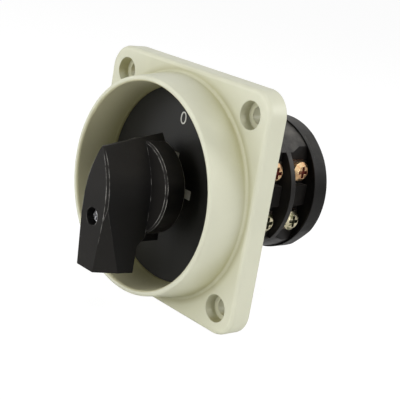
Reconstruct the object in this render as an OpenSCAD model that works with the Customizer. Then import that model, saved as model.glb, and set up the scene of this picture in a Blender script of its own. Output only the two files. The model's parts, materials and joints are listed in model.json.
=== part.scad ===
// Voltmeter selector switch for a panel: a square plate with a round collar,
// a sunken dial, a pistol handle, and a stack of contact decks behind.
// Every piece is drawn as seen from the front, x to the right and y up, with
// z out of the panel towards the hand. The last step of each piece stands it
// up, so that the handle faces -Y and the contact decks lie towards +Y.
// The panel's front face is the plane of depth 0, and depths grow backwards.

/* [Front plate] */
// Width and height of the square front plate
plate_size = 64; // [60:0.5:72]
// Thickness of the front plate
plate_t = 5.8; // [5:0.1:7]
// Radius of the plate's corners
plate_corner_r = 6.6; // [4:0.1:9]
// Radius of the rounded edge round the plate's front face
plate_edge_r = 1.1; // [0.6:0.1:1.6]
// Depth of the recess in the plate's back that locates the index housing
seat_recess = 0.6; // [0.3:0.1:1]
// Distance of each corner hole from the plate's edges
hole_inset = 6.75; // [6:0.05:8]
// Diameter of the corner holes
hole_d = 4.5; // [3.6:0.1:5]
// Diameter of the counterbores that take the panel screws' heads
counterbore_d = 7.2; // [6.4:0.1:8]
// Depth of those counterbores
counterbore_depth = 3.2; // [2:0.1:4]

/* [Collar] */
// Inner radius of the collar at the dial
collar_floor_r = 26.2; // [25:0.1:26.5]
// How much wider the collar's mouth is than its floor, on the radius
collar_taper = 0.9; // [0.4:0.1:1.2]
// Thickness of the collar's rim
collar_rim_t = 1.5; // [1.1:0.1:2]
// How much further out the collar's foot stands than its rim
collar_flare = 1.1; // [0.3:0.1:1.6]
// Height of the collar above the plate
collar_h = 10.9; // [8:0.1:13]
// Thickness of the plate's floor under the dial
floor_t = 4.2; // [3.6:0.1:4.8]
// Radius of the fillet between the collar and the plate
collar_fillet_r = 0.8; // [0.3:0.1:1.2]

/* [Dial] */
// Thickness of the dial disc
dial_t = 0.8; // [0.5:0.1:1.1]
// Clearance round the hub's neck in the dial and in the plate's floor
dial_hole_gap = 0.3; // [0.1:0.1:1]

/* [Handle] */
// Height of the handle's front face above the panel
handle_top = 29.6; // [27:0.2:34]
// Height of the handle's underside above the panel
handle_base = 11; // [10.5:0.1:12]
// Height of the round boss's front shelf
handle_shelf = 17; // [16:0.1:19]
// Height of the overhanging tail's underside
tail_shelf = 19; // [17.6:0.1:21]
// Reach of the pointed nose above the axis, on the front face
nose_top = 10.9; // [9.5:0.1:12]
// Reach of the pointed nose above the axis, at the underside
nose_base = 14.3; // [13:0.1:16]
// Reach of the tail below the axis
tail_reach = 21.3; // [18:0.1:24]
// Reach of the foot below the axis, under the tail
foot_reach = 13.5; // [12.8:0.1:14.5]
// Half the width of that foot
foot_half_w = 4.9; // [4:0.1:6]
// Half the width of the blade on its front face
blade_half_w = 4.6; // [3.8:0.1:5.5]
// How far below the axis the blade is widest
blade_belly = 4; // [2:0.1:6]
// How much wider each side of the blade is at its underside
blade_draft = 3; // [2:0.1:3.6]
// Half the width of the tail's end, on the front face
tail_half_w = 3.4; // [2.6:0.1:3.7]
// Depth to which the facets at the tail's end reach down its sides
facet_depth = 6.3; // [4:0.1:8]
// How far below the axis those facets start
facet_start = 8; // [6:0.1:10]
// Width of the bevel along the blade's front edges
handle_edge = 0.6; // [0.3:0.1:0.9]
// Radius of the round boss in the middle of the handle
boss_r = 12.5; // [11.5:0.1:14]
// How far below the axis the handle's screw sits
handle_screw_drop = 7.4; // [6.6:0.1:8]

/* [Hub] */
// Radius of the hub's flange, let into the handle's underside
hub_r = 9.9; // [9.6:0.1:10.2]
// Thickness of that flange
flange_t = 2.6; // [2.4:0.1:3]
// Radius of the hub's neck, which turns in the dial and the plate
spigot_r = 4.6; // [4.5:0.1:5.4]

/* [Shaft] */
// Width across the flats of the square shaft
shaft_w = 5; // [4.5:0.1:5.4]
// Wall of the round journals, outside the corners of the square shaft
journal_wall = 1.4; // [1:0.1:1.8]

/* [Index housing] */
// Depth of the index housing behind the panel
housing_t = 10; // [9.6:0.1:11]
// How far the index housing's trimmed corners stand out past the decks
housing_corner = 0.9; // [0.5:0.1:1.5]
// Radius of the index wheel's tips
wheel_r = 8.5; // [8.2:0.1:8.8]
// Thickness of the index wheel
wheel_t = 4; // [3.6:0.1:4.2]
// Radius of the steel balls that drop into the index wheel
ball_r = 1.5; // [1.3:0.05:1.6]
// Travel of each index ball
index_travel = 1.2; // [0.8:0.1:1.3]
// Number of positions that the index wheel would hold in a full turn
wheel_notches = 4; // [4:4:8]
// Angle through which the handle turns from its first to its last position
turn_angle = 180; // [90:90:270]
// Thickness of the bearing plate behind the index housing
bearing_t = 1.7; // [1.4:0.1:2]

/* [Contact decks] */
// Radius of the contact decks
deck_r = 18.5; // [18:0.1:19]
// Depth of one contact deck
deck_t = 9.8; // [9.4:0.1:10.4]
// Thickness of each deck's front wall, the barrier between two decks
barrier_t = 1.6; // [1.3:0.1:2]
// How deep each terminal bay is cut in from the deck's rim
bay_cut = 5.9; // [5.5:0.1:6.1]
// How far short of the deck's rim the bay's end walls lie
bay_end_front = 6.3; // [5.5:0.1:6.5]
// How far short of it they lie at the back of the last deck, which opens wider there
bay_end_back = 3.4; // [3:0.1:5.3]
// Depth of that last bay before it opens wider
bay_straight = 1; // [0.5:0.1:3]
// Thickness of the wall between the terminal bay and the contact chamber
chamber_wall = 1; // [0.8:0.1:1.2]

/* [Cams] */
// Radius of the cams' full round
cam_r = 7; // [6.8:0.05:7.1]
// Depth of the notches in the cams
notch_depth = 1.2; // [1.1:0.05:1.4]
// Angle that each cam notch spans
notch_angle = 56; // [48:1:66]
// Travel of a contact slider
contact_travel = 1; // [0.8:0.05:1.05]

/* [Terminals] */
// Distance of each terminal above or below the middle of its bay
terminal_rise = 7; // [6.8:0.1:7.2]
// Thickness of the fixed contact strips
strip_t = 0.8; // [0.6:0.05:0.9]
// Width of the fixed contact strips inside the chamber
strip_w = 3.6; // [3:0.1:4]
// Thickness of the square clamping plates
clamp_t = 0.8; // [0.6:0.05:1]
// Width of the square clamping plates
clamp_w = 5.4; // [5:0.1:5.4]
// Radius of the terminal screws' heads
terminal_head_r = 2.75; // [2.5:0.05:2.8]
// Height of the terminal screws' heads
terminal_head_h = 1.9; // [1.6:0.1:2.2]
// Radius of the terminal screws' threads
terminal_screw_r = 1.5; // [1.25:0.05:1.6]

/* [End plate] */
// How far the end plate stands out past the decks
end_lip = 0.55; // [0.3:0.05:0.9]
// How far the end plate's rim reaches forward over the last deck
end_reach = 1.1; // [0.5:0.1:1.2]
// Thickness of the end plate behind the last deck
end_t = 4.2; // [3.8:0.1:5]
// Bevel along the end plate's back edge
end_bevel = 0.6; // [0.3:0.1:1]
// Width of the flats on the end plate's rim
end_flat_w = 8; // [4:0.1:9]

/* [Long bolts] */
// Distance of the two long bolts from the decks' rim
bolt_inset = 3.9; // [3.7:0.1:4.1]
// Radius of the long bolts
bolt_r = 1.5; // [1.4:0.05:1.6]

/* [Hidden] */
$fn = 96;

// Clearances, each named for the fit that it serves
turn_gap = 0.05;
slide_gap = 0.1;
fixed_gap = 0.1;
air_gap = 0.25;
hub_lift = 0.25;
cut_over = 0.5;

// Depths behind the panel at which the pieces of the stack meet
bearing_depth = housing_t;
deck_depths = [housing_t + bearing_t, housing_t + bearing_t + deck_t];
end_depth = housing_t + bearing_t + 2 * deck_t;
rear_depth = end_depth + end_t;
front_wall_t = 1.8;

// Outlines of the stack, all led by the decks' radius
housing_w = 2 * deck_r;
housing_r = deck_r + housing_corner;
end_r = deck_r + end_lip;
bolt_rise = deck_r - bolt_inset;
bay_floor = deck_r - bay_cut;
bay_half_low = deck_r - bay_end_front;
bay_half_high = deck_r - bay_end_back;
bay_halves_back = [bay_half_low, bay_half_high];

// Front plate, collar and dial
hole_spacing = plate_size - 2 * hole_inset;
rim_height = plate_t + collar_h;
collar_mouth_r = collar_floor_r + collar_taper;
collar_rim_r = collar_mouth_r + collar_rim_t;
collar_foot_r = collar_rim_r + collar_flare;
dial_height = floor_t + dial_t;
dial_r = collar_floor_r - fixed_gap;
dial_hole_r = spigot_r + dial_hole_gap;

// Handle screw and hub screw
handle_thread_r = 1.25;
handle_head_r = 2.2;
handle_head_h = 1.7;
handle_head_sink = 3.4;
handle_hole_gap = 0.15;
handle_hole_r = handle_head_r + handle_hole_gap;
hub_thread_r = 1.25;
hub_head_r = 2.3;
hub_head_h = 1.6;

// Countersunk screws under the dial
housing_screw_r = 1.5;
housing_head_r = 2.8;
housing_head_h = 1.6;
housing_screw_inset = 4;
housing_screw_reach = 6.5;
housing_screw_circle_r = housing_r - housing_screw_inset;

// Long bolts and their nuts
bolt_head_r = 2.8;
bolt_head_h = 2;
bolt_recess = 2.2;
bolt_hole_r = bolt_r + fixed_gap;
nut_r = 3.1;
nut_t = 2.2;
nut_cover = 0.4;
nut_depth = housing_t - nut_t - nut_cover;

// Cross recesses
cross_w = 0.9;
cross_r = 1.6;
cross_depth = 0.9;
small_cross_share = 0.75;

// The blade's flanks: how far they lean out, and the radius that bends them to the nose
base_half_w = blade_half_w + blade_draft;
nose_len = nose_base + blade_belly;
nose_arc_r = (base_half_w * base_half_w + nose_len * nose_len) / (2 * base_half_w);
flank_slope = (blade_draft - handle_edge) / (handle_top - handle_base - handle_edge);
flank_half_w = blade_half_w + handle_edge - flank_slope * handle_edge;
nose_slope = (nose_base - nose_top) / (handle_top - handle_base);
facet_slope = (flank_half_w + flank_slope * facet_depth - tail_half_w) / facet_depth;

// The bevel of the boss, and the slant of the step between foot and tail
boss_edge = 0.5;
tail_step_lean = 2.5;

// Shaft and clip
hub_top = handle_base + flange_t;
shaft_drop = 1.6;
shaft_front = hub_top - shaft_drop;
shaft_inset = 0.7;
shaft_rear = rear_depth - shaft_inset;
shaft_corner_r = (shaft_w + 2 * turn_gap) / sqrt(2);
journal_r = shaft_corner_r + journal_wall;
deck_journal_wall = 0.4;
deck_journal_r = shaft_corner_r + deck_journal_wall;
groove_cut = 0.2;
groove_r = shaft_w / 2 - groove_cut;
groove_w = 0.6;
end_recess_floor = 1.7;
clip_room = 0.4;
clip_depth = end_depth + end_recess_floor + clip_room;
clip_t = 0.5;
clip_band = 1.9;
clip_r = groove_r + clip_band;
clip_mouth_w = 3;
end_recess_room = 1.8;
end_recess_r = clip_r + end_recess_room;

// Index wheel, its balls, plungers and springs
wheel_depth = 2;
notch_room = 0.5;
notch_clear = 0.15;
notch_r = ball_r + notch_room;
notch_centre = wheel_r - index_travel - notch_clear + notch_r;
ball_place = wheel_r + air_gap + ball_r;
cup_r = ball_r + turn_gap;
cup_back = 0.35;
plunger_half = 2;
plunger_len = 2.8;
plunger_front = ball_place + cup_back;
plunger_rear = plunger_front + plunger_len;
plunger_mid_depth = wheel_depth + wheel_t / 2;
housing_side_t = 1.5;
index_spring_end = housing_w / 2 - housing_side_t;
index_coil_r = 1.4;
index_wire_r = 0.22;
index_turns = 5;
wheel_room = 0.5;
wheel_cavity_r = wheel_r + wheel_room;

// Stop ring and the block that it meets
stop_room = 0.4;
stop_depth = wheel_depth + wheel_t + stop_room;
stop_ring_t = 1.7;
stop_hub_r = 7.4;
stop_block_r = stop_hub_r + stop_room;
nut_wall = 0.2;
stop_cavity_r = bolt_rise - nut_r - nut_wall;
lug_room = 0.5;
stop_lug_r = stop_cavity_r - lug_room;
stop_lug_angle = 30;
stop_slack_angle = 1;
stop_block_place = 270;
stop_block_angle = 360 - turn_angle - stop_lug_angle - 2 * stop_slack_angle;
lug_place = stop_block_place - 180;

// Terminals: the strip's outer leg ends level with its clamping plate
strip_outer = terminal_rise + clamp_w / 2;
pad_inner = terminal_rise - clamp_w / 2 + fixed_gap;
pad_half_depth = clamp_w / 2;

// Contact chamber, from the deck's rim inwards
chamber_depth = deck_t - barrier_t;
chamber_half = strip_outer + 2 * fixed_gap;
chamber_face = bay_floor - chamber_wall;
bridge_t = 0.7;
bridge_room = 0.4;
slider_back = chamber_face - bridge_room - bridge_t;

// Sliders and the posts that guide them
cam_tip = cam_r + air_gap;
slider_tip_len = 1.1;
slider_tip_half = 1.2;
slider_half = 2.1;
slider_half_depth = 2;
guide_t = 1.2;
guide_room = 0.5;
guide_inner = cam_r + guide_room;
guide_outer = slider_back - contact_travel - slide_gap;
pin_r = 0.8;
pin_len = 1.6;

// How far each cam's journal reaches past the back of its deck
cam_tails = [0, end_recess_floor];

// Bridges and the strips that they touch
strip_room = 0.6;
strip_inner = slider_half + slide_gap + guide_t + strip_room;
tip_t = 0.5;
tip_half = 1.3;
tip_margin = 0.3;
tip_rise = strip_inner + tip_margin + tip_half;
bridge_end = 0.4;
bridge_half = tip_rise + tip_half + bridge_end;
strip_face = slider_back - tip_t - contact_travel - slide_gap / 2;

// Towers in the terminal bays, and the contact springs that they hold
spring_bore_r = 2;
tower_wall = 0.9;
tower_half = spring_bore_r + tower_wall;
tower_out = 2.1;
spring_floor = 1;
spring_coil_r = 1.4;
spring_wire_r = 0.22;
spring_turns = 4;

// Colours, as the photograph shows them
ivory = [0.84, 0.83, 0.75];
black_plastic = [0.14, 0.14, 0.14];
dial_black = [0.09, 0.09, 0.09];
deck_black = [0.17, 0.17, 0.17];
nylon = [0.9, 0.89, 0.84];
steel = [0.65, 0.66, 0.68];
copper = [0.78, 0.5, 0.34];
brass_colour = [0.85, 0.7, 0.4];

// Stands a piece up, from the drawing's front view into its place
module stand_up() {
    rotate([90, 0, 0]) children();
}

// Extrudes a front-view outline between two depths behind the panel
module slab(from_depth, to_depth) {
    translate([0, 0, -to_depth]) linear_extrude(height = to_depth - from_depth) children();
}

// Extrudes a front-view outline between two heights above the panel
module raised(from_height, to_height) {
    translate([0, 0, from_height]) linear_extrude(height = to_height - from_height) children();
}

// A square outline with rounded corners
module rounded_square(width, corner_r) {
    inner = width - 2 * corner_r;
    union() {
        square([width, inner], center = true);
        square([inner, width], center = true);
        for (x = [-1, 1], y = [-1, 1]) {
            translate([x * inner / 2, y * inner / 2]) circle(r = corner_r);
        }
    }
}

// A sector of a disc, centred on one direction
module sector(r, middle, angle) {
    steps = 8;
    half_far = r / cos(angle / steps / 2);
    polygon([[0, 0], for (i = [0 : steps])
        let (a = middle - angle / 2 + i * angle / steps) [half_far * cos(a), half_far * sin(a)]]);
}

// A hole or boss along z at the four corners of a square
module at_corners(spacing) {
    for (x = [-1, 1], y = [-1, 1]) {
        translate([x * spacing / 2, y * spacing / 2, 0]) children();
    }
}

// A cross recess, sunk from z = 0 downwards
module cross_recess(size_share = 1) {
    for (turn = [0, 90]) {
        rotate([0, 0, turn])
            translate([-cross_r * size_share, -cross_w * size_share / 2, -cross_depth * size_share])
                cube([2 * cross_r * size_share, cross_w * size_share, cross_depth * size_share + cut_over]);
    }
}

// A screw that points down, with the seat of its domed head at z = 0
module pan_screw(thread_r, thread_len, head_r, head_h, recess_share = 1) {
    dome = head_h / 2;
    difference() {
        union() {
            translate([0, 0, -thread_len]) cylinder(h = thread_len, r = thread_r);
            cylinder(h = head_h - dome, r = head_r);
            translate([0, 0, head_h - dome]) cylinder(h = dome, r1 = head_r, r2 = head_r - dome);
        }
        translate([0, 0, head_h]) cross_recess(recess_share);
    }
}

// A helical spring of round wire along z, from z = 0 to its length
module coil_spring(coil_r, wire_r, len, turns) {
    sides = 6;
    steps = 12 * turns;
    travel = len - 2 * wire_r;
    rings = [for (i = [0 : steps]) [for (j = [0 : sides - 1])
        let (a = 360 * turns * i / steps, b = 360 * j / sides, r = coil_r + wire_r * cos(b))
            [r * cos(a), r * sin(a), wire_r + travel * i / steps + wire_r * sin(b)]]];
    points = [for (ring = rings) each ring];
    last = steps * sides;
    skin = [for (i = [0 : steps - 1], j = [0 : sides - 1])
        let (k = (j + 1) % sides, p = i * sides, q = (i + 1) * sides)
            each [[p + j, q + k, q + j], [p + j, p + k, q + k]]];
    front_cap = [for (j = [1 : sides - 2]) [0, j + 1, j]];
    back_cap = [for (j = [1 : sides - 2]) [last, last + j, last + j + 1]];
    polyhedron(points = points, faces = concat(skin, front_cap, back_cap), convexity = 6);
}

// The ivory plate, moulded in one with its collar
module front_plate() {
    color(ivory) stand_up() difference() {
        union() {
            raised(0, plate_t - plate_edge_r) rounded_square(plate_size, plate_corner_r);
            hull() {
                for (step = [0 : 3]) {
                    inset = plate_edge_r * (1 - cos(step * 30));
                    rise = plate_edge_r * (1 - sin(step * 30)) + plate_edge_r / 50;
                    translate([0, 0, plate_t - rise]) linear_extrude(height = plate_edge_r / 50)
                            rounded_square(plate_size - 2 * inset, plate_corner_r - inset, $fn = 48);
                }
            }
            collar_wall();
        }
        translate([0, 0, floor_t]) cylinder(h = plate_t, r = collar_floor_r);
        translate([0, 0, -cut_over]) cylinder(h = floor_t + 2 * cut_over, r = dial_hole_r);
        raised(-cut_over, seat_recess) housing_outline(fixed_gap);
        at_corners(hole_spacing) {
            translate([0, 0, -cut_over]) cylinder(h = plate_t, r = hole_d / 2);
            translate([0, 0, plate_t - counterbore_depth])
                cylinder(h = counterbore_depth + collar_h + cut_over, r = counterbore_d / 2);
        }
        housing_screw_places() {
            translate([0, 0, -cut_over]) cylinder(h = plate_t, r = housing_screw_r + fixed_gap);
            translate([0, 0, floor_t - housing_head_h])
                cylinder(h = housing_head_h + cut_over, r1 = housing_screw_r + fixed_gap,
                    r2 = housing_head_r + fixed_gap + cut_over);
        }
    }
}

// The collar's wall: a fillet at its foot, a slight taper and a round lip
module collar_wall() {
    lip_r = (collar_rim_r - collar_mouth_r) / 2;
    lip_centre = (collar_rim_r + collar_mouth_r) / 2;
    fillet_centre = collar_foot_r + collar_fillet_r;
    rotate_extrude() {
        difference() {
            union() {
                polygon([[collar_floor_r, floor_t], [fillet_centre, floor_t],
                    [fillet_centre, plate_t], [collar_foot_r, plate_t + collar_fillet_r],
                    [collar_rim_r, rim_height - lip_r], [collar_mouth_r, rim_height - lip_r],
                    [collar_floor_r, floor_t + dial_t]]);
                translate([lip_centre, rim_height - lip_r]) circle(r = lip_r, $fn = 32);
            }
            translate([fillet_centre, plate_t + collar_fillet_r]) circle(r = collar_fillet_r, $fn = 32);
        }
    }
}

// Outline of the index housing: a square with its corners trimmed to a circle
module housing_outline(gap = 0) {
    intersection() {
        square(housing_w + 2 * gap, center = true);
        circle(r = housing_r + gap);
    }
}

// Places of the four screws that hold the plate to the index housing
module housing_screw_places() {
    for (turn = [45 : 90 : 315]) {
        rotate([0, 0, turn]) translate([housing_screw_circle_r, 0, 0]) children();
    }
}

// The dial disc that hides those screws
module dial_plate() {
    color(dial_black) stand_up() raised(floor_t, dial_height) difference() {
        circle(r = dial_r);
        circle(r = dial_hole_r);
    }
}

// Countersunk screws from the plate's floor into the index housing
module housing_screws() {
    color(steel) stand_up() housing_screw_places() difference() {
        union() {
            translate([0, 0, -housing_screw_reach])
                cylinder(h = housing_screw_reach + floor_t - housing_head_h, r = housing_screw_r);
            translate([0, 0, floor_t - housing_head_h])
                cylinder(h = housing_head_h, r1 = housing_screw_r, r2 = housing_head_r);
        }
        translate([0, 0, floor_t]) cross_recess();
    }
}

// One flank's outline: straight along the tail, bent in to the nose, open to the left
module flank_outline(half_w, arc_r) {
    translate([0, -blade_belly]) union() {
        intersection() {
            translate([half_w - arc_r, 0]) circle(r = arc_r, $fn = 256);
            translate([-2 * boss_r, 0]) square([4 * boss_r, 2 * boss_r]);
        }
        translate([-2 * boss_r, -2 * tail_reach]) square([half_w + 2 * boss_r, 2 * tail_reach]);
    }
}

// All that lies between two flanks, which lean out by a slope from the front face down
module between_flanks(half_w, slope) {
    lean = atan(slope);
    intersection_for(side = [0, 1]) {
        mirror([side, 0, 0]) translate([0, 0, handle_top]) rotate([0, -lean, 0])
            translate([0, 0, -2 * handle_top]) linear_extrude(height = 4 * handle_top)
                flank_outline(half_w * cos(lean), nose_arc_r / cos(lean));
    }
}

// The drafted blade with bevelled front edges, full length down to the underside
module blade() {
    intersection() {
        between_flanks(flank_half_w, flank_slope);
        between_flanks(blade_half_w, 1);
        translate([-boss_r, -tail_reach, handle_base])
            cube([2 * boss_r, tail_reach + nose_base + boss_r, handle_top - handle_base]);
        translate([0, nose_top, handle_top]) rotate([atan(nose_slope), 0, 0])
            translate([-boss_r, -3 * tail_reach, -2 * handle_top])
                cube([2 * boss_r, 3 * tail_reach, 4 * handle_top]);
    }
}

// What the facets take off both sides of the tail, ever more towards its end
module tail_facets() {
    turn = atan((blade_half_w - tail_half_w) / (tail_reach - facet_start));
    for (side = [0, 1]) {
        mirror([side, 0, 0]) translate([tail_half_w, -tail_reach, handle_top])
            rotate([0, 0, -turn]) rotate([0, -atan(facet_slope * cos(turn)), 0])
                translate([0, -tail_reach, -handle_top]) cube([boss_r, 3 * tail_reach, 2 * handle_top]);
    }
}

// The room under the overhanging tail, with a slanted step at the foot
module tail_room() {
    step_top = -foot_reach - tail_step_lean / 4;
    rotate([90, 0, 90]) translate([0, 0, -boss_r]) linear_extrude(height = 2 * boss_r)
        polygon([[0, 0], [0, handle_shelf], [step_top + tail_step_lean, handle_shelf],
            [step_top, tail_shelf], [-2 * tail_reach, tail_shelf], [-2 * tail_reach, 0]]);
}

// The handle: the blade, the round boss below it and the foot under its tail
module handle() {
    color(black_plastic) stand_up() difference() {
        union() {
            difference() {
                blade();
                tail_facets();
                tail_room();
            }
            raised(handle_base, handle_shelf - boss_edge) circle(r = boss_r);
            translate([0, 0, handle_shelf - boss_edge])
                cylinder(h = boss_edge, r1 = boss_r, r2 = boss_r - boss_edge);
            raised(handle_base, tail_shelf)
                translate([-foot_half_w, -foot_reach]) square([2 * foot_half_w, foot_reach]);
        }
        translate([0, -handle_screw_drop, handle_base])
            cylinder(h = handle_top, r = handle_thread_r + fixed_gap);
        translate([0, -handle_screw_drop, handle_top - handle_head_sink - handle_head_h])
            cylinder(h = handle_top, r = handle_hole_r);
        raised(handle_base - cut_over, hub_top) circle(r = hub_r + fixed_gap);
        raised(hub_top - cut_over, hub_top + hub_head_h + fixed_gap) circle(r = hub_head_r + fixed_gap);
    }
}

// The screw that clamps the handle to the hub, off the shaft's axis
module handle_screw() {
    seat = handle_top - handle_head_sink - handle_head_h;
    color(steel) stand_up() translate([0, -handle_screw_drop, seat])
        pan_screw(handle_thread_r, seat - handle_base - fixed_gap,
            handle_head_r, handle_head_h, small_cross_share);
}

// The hub: its flange takes the handle's torque to the square shaft
module handle_hub() {
    color(dial_black) stand_up() difference() {
        union() {
            raised(handle_base, hub_top) circle(r = hub_r);
            raised(seat_recess + hub_lift, handle_base + cut_over) circle(r = spigot_r);
        }
        raised(seat_recess, shaft_front + turn_gap) square(shaft_w + 2 * turn_gap, center = true);
        raised(shaft_front, hub_top + cut_over) circle(r = hub_thread_r + turn_gap);
        translate([0, -handle_screw_drop, handle_base - cut_over])
            cylinder(h = flange_t + 2 * cut_over, r = handle_thread_r);
    }
}

// The screw that draws the hub onto the shaft, hidden under the handle
module hub_screw() {
    color(steel) stand_up() translate([0, 0, hub_top])
        pan_screw(hub_thread_r, shaft_drop + 4 * hub_thread_r, hub_head_r, hub_head_h, small_cross_share);
}

// The square steel shaft, tapped at its front and grooved for its clip
module shaft() {
    color(steel) stand_up() difference() {
        slab(-shaft_front, shaft_rear) square(shaft_w, center = true);
        slab(clip_depth - turn_gap, clip_depth + groove_w - turn_gap) difference() {
            circle(r = shaft_w);
            circle(r = groove_r);
        }
        translate([0, 0, shaft_front - 5 * hub_thread_r]) cylinder(h = shaft_front, r = hub_thread_r);
    }
}

// The spring clip in the shaft's groove
module shaft_clip() {
    color(steel) stand_up() slab(clip_depth, clip_depth + clip_t) difference() {
        circle(r = clip_r);
        circle(r = groove_r + turn_gap);
        translate([0, -clip_mouth_w / 2]) square([clip_r + cut_over, clip_mouth_w]);
    }
}

// Places on the right and on the left, the left turned half a turn about the shaft
module on_side(side) {
    rotate([0, 0, side == "right" ? 0 : 180]) children();
}

// The index housing, with its ball channels and the block that limits the turn
module index_housing() {
    channel_half = plunger_half + slide_gap;
    color(deck_black) stand_up() difference() {
        slab(-seat_recess, housing_t) housing_outline();
        slab(-seat_recess - cut_over, front_wall_t + cut_over) circle(r = journal_r + turn_gap);
        slab(front_wall_t, stop_depth) circle(r = wheel_cavity_r);
        slab(stop_depth - turn_gap, housing_t + cut_over) difference() {
            circle(r = stop_cavity_r);
            difference() {
                sector(stop_cavity_r + cut_over, stop_block_place, stop_block_angle);
                circle(r = stop_block_r);
            }
        }
        for (side = ["right", "left"]) {
            on_side(side) slab(plunger_mid_depth - channel_half, plunger_mid_depth + channel_half)
                translate([0, -channel_half]) square([index_spring_end, 2 * channel_half]);
        }
        housing_screw_places()
            translate([0, 0, -housing_screw_reach])
                cylinder(h = housing_screw_reach + seat_recess + cut_over, r = housing_screw_r);
        for (y = [-1, 1]) {
            translate([0, y * bolt_rise, -housing_t - cut_over]) {
                cylinder(h = housing_t + cut_over - nut_depth + nut_t, r = bolt_hole_r);
                cylinder(h = housing_t + cut_over - nut_depth, r = nut_r + fixed_gap, $fn = 6);
            }
        }
    }
}

// The index wheel: a nylon star on the square shaft, with its own journal
module index_wheel() {
    color(nylon) stand_up() difference() {
        union() {
            slab(fixed_gap - seat_recess, wheel_depth) circle(r = journal_r);
            slab(wheel_depth, wheel_depth + wheel_t) difference() {
                circle(r = wheel_r);
                for (turn = [0 : 360 / wheel_notches : 359]) {
                    rotate(turn) translate([notch_centre, 0]) circle(r = notch_r);
                }
            }
        }
        slab(-seat_recess - cut_over, wheel_depth + wheel_t + cut_over)
            square(shaft_w + 2 * turn_gap, center = true);
    }
}

// The stop ring, whose lug meets the housing's block at both ends of the turn
module stop_ring() {
    color(nylon) stand_up() difference() {
        union() {
            slab(stop_depth, stop_depth + stop_ring_t) union() {
                circle(r = stop_hub_r);
                intersection() {
                    circle(r = stop_lug_r);
                    sector(stop_lug_r + cut_over, lug_place, stop_lug_angle);
                }
            }
            slab(stop_depth, bearing_depth + bearing_t - fixed_gap) circle(r = journal_r);
        }
        slab(0, end_depth) square(shaft_w + 2 * turn_gap, center = true);
    }
}

// A plunger that holds one index ball against the wheel
module index_plunger(side) {
    color(nylon) stand_up() on_side(side) difference() {
        slab(plunger_mid_depth - plunger_half, plunger_mid_depth + plunger_half)
            translate([plunger_front, -plunger_half]) square([plunger_rear - plunger_front, 2 * plunger_half]);
        translate([ball_place, 0, -plunger_mid_depth]) sphere(r = cup_r);
    }
}

// One steel index ball
module index_ball(side) {
    color(steel) stand_up() on_side(side)
        translate([ball_place, 0, -plunger_mid_depth]) sphere(r = ball_r);
}

// The spring behind one index plunger
module index_spring(side) {
    color(steel) stand_up() on_side(side)
        translate([plunger_rear, 0, -plunger_mid_depth]) rotate([0, 90, 0])
            coil_spring(index_coil_r, index_wire_r, index_spring_end - plunger_rear, index_turns);
}

// The bearing plate between the index housing and the first contact deck
module bearing_plate() {
    color(deck_black) stand_up() slab(bearing_depth, bearing_depth + bearing_t) difference() {
        circle(r = deck_r);
        circle(r = journal_r + turn_gap);
        for (y = [-1, 1]) {
            translate([0, y * bolt_rise]) circle(r = bolt_hole_r);
        }
    }
}

// Outline of one terminal bay seen along x: straight at first, then it may open wider
module bay_outline(from_depth, to_depth, half_back) {
    polygon([[-bay_half_low, -from_depth], [bay_half_low, -from_depth],
        [bay_half_low, -from_depth - bay_straight], [half_back, -to_depth],
        [-half_back, -to_depth], [-bay_half_low, -from_depth - bay_straight]]);
}

// A contact deck: barrier in front, cam chamber in the middle, a terminal bay each side
module contact_deck(deck) {
    depth = deck_depths[deck];
    open_depth = depth + barrier_t;
    back_depth = depth + deck_t;
    mid_depth = open_depth + chamber_depth / 2;
    color(deck_black) stand_up() difference() {
        slab(depth, back_depth) circle(r = deck_r);
        slab(depth - cut_over, open_depth + cut_over) circle(r = deck_journal_r + turn_gap);
        slab(open_depth, back_depth + cut_over) difference() {
            square([2 * chamber_face, 2 * chamber_half], center = true);
            slider_guides();
        }
        for (side = ["right", "left"]) {
            on_side(side) {
                difference() {
                    translate([bay_floor, 0, 0]) rotate([90, 0, 90]) linear_extrude(height = deck_r)
                        bay_outline(open_depth, back_depth + cut_over, bay_halves_back[deck]);
                    slab(open_depth - cut_over, back_depth + 2 * cut_over)
                        translate([0, -tower_half]) square([bay_floor + tower_out, 2 * tower_half]);
                }
                translate([chamber_face - cut_over, 0, -mid_depth]) rotate([0, 90, 0])
                    cylinder(h = chamber_wall + tower_out - spring_floor + cut_over, r = spring_bore_r);
                for (y = [-1, 1]) {
                    translate([chamber_face - cut_over, y * terminal_rise, -mid_depth]) rotate([0, 90, 0])
                        cylinder(h = chamber_wall + 2 * cut_over, r = terminal_screw_r + turn_gap);
                    slab(mid_depth - strip_w / 2 - turn_gap, mid_depth + strip_w / 2 + turn_gap)
                        translate([bay_floor - chamber_wall / 2, y * (strip_outer - strip_t / 2)])
                            square([chamber_wall + 2 * cut_over, strip_t + 2 * turn_gap], center = true);
                }
            }
        }
        for (y = [-1, 1]) {
            translate([0, y * bolt_rise, -back_depth - cut_over])
                cylinder(h = deck_t + 2 * cut_over, r = bolt_hole_r);
        }
    }
}

// The posts that guide the sliders, drawn for both sides of a deck
module slider_guides() {
    for (side = ["right", "left"], y = [-1, 1]) {
        rotate(side == "right" ? 0 : 180)
            translate([guide_inner, y * (slider_half + slide_gap + guide_t / 2) - guide_t / 2])
                square([guide_outer - guide_inner, guide_t]);
    }
}

// One cam: two tracks, each with notches for the slider on its own side
module cam(deck) {
    front = deck_depths[deck] + barrier_t + slide_gap;
    back = deck_depths[deck] + deck_t - slide_gap;
    middle = (front + back) / 2;
    color(nylon) stand_up() difference() {
        union() {
            cam_track(front, middle, 0);
            cam_track(middle, back, 180);
            slab(deck_depths[deck] + fixed_gap, front) circle(r = deck_journal_r);
            slab(back, deck_depths[deck] + deck_t + cam_tails[deck]) circle(r = deck_journal_r);
        }
        slab(0, rear_depth) square(shaft_w + 2 * turn_gap, center = true);
    }
}

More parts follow.
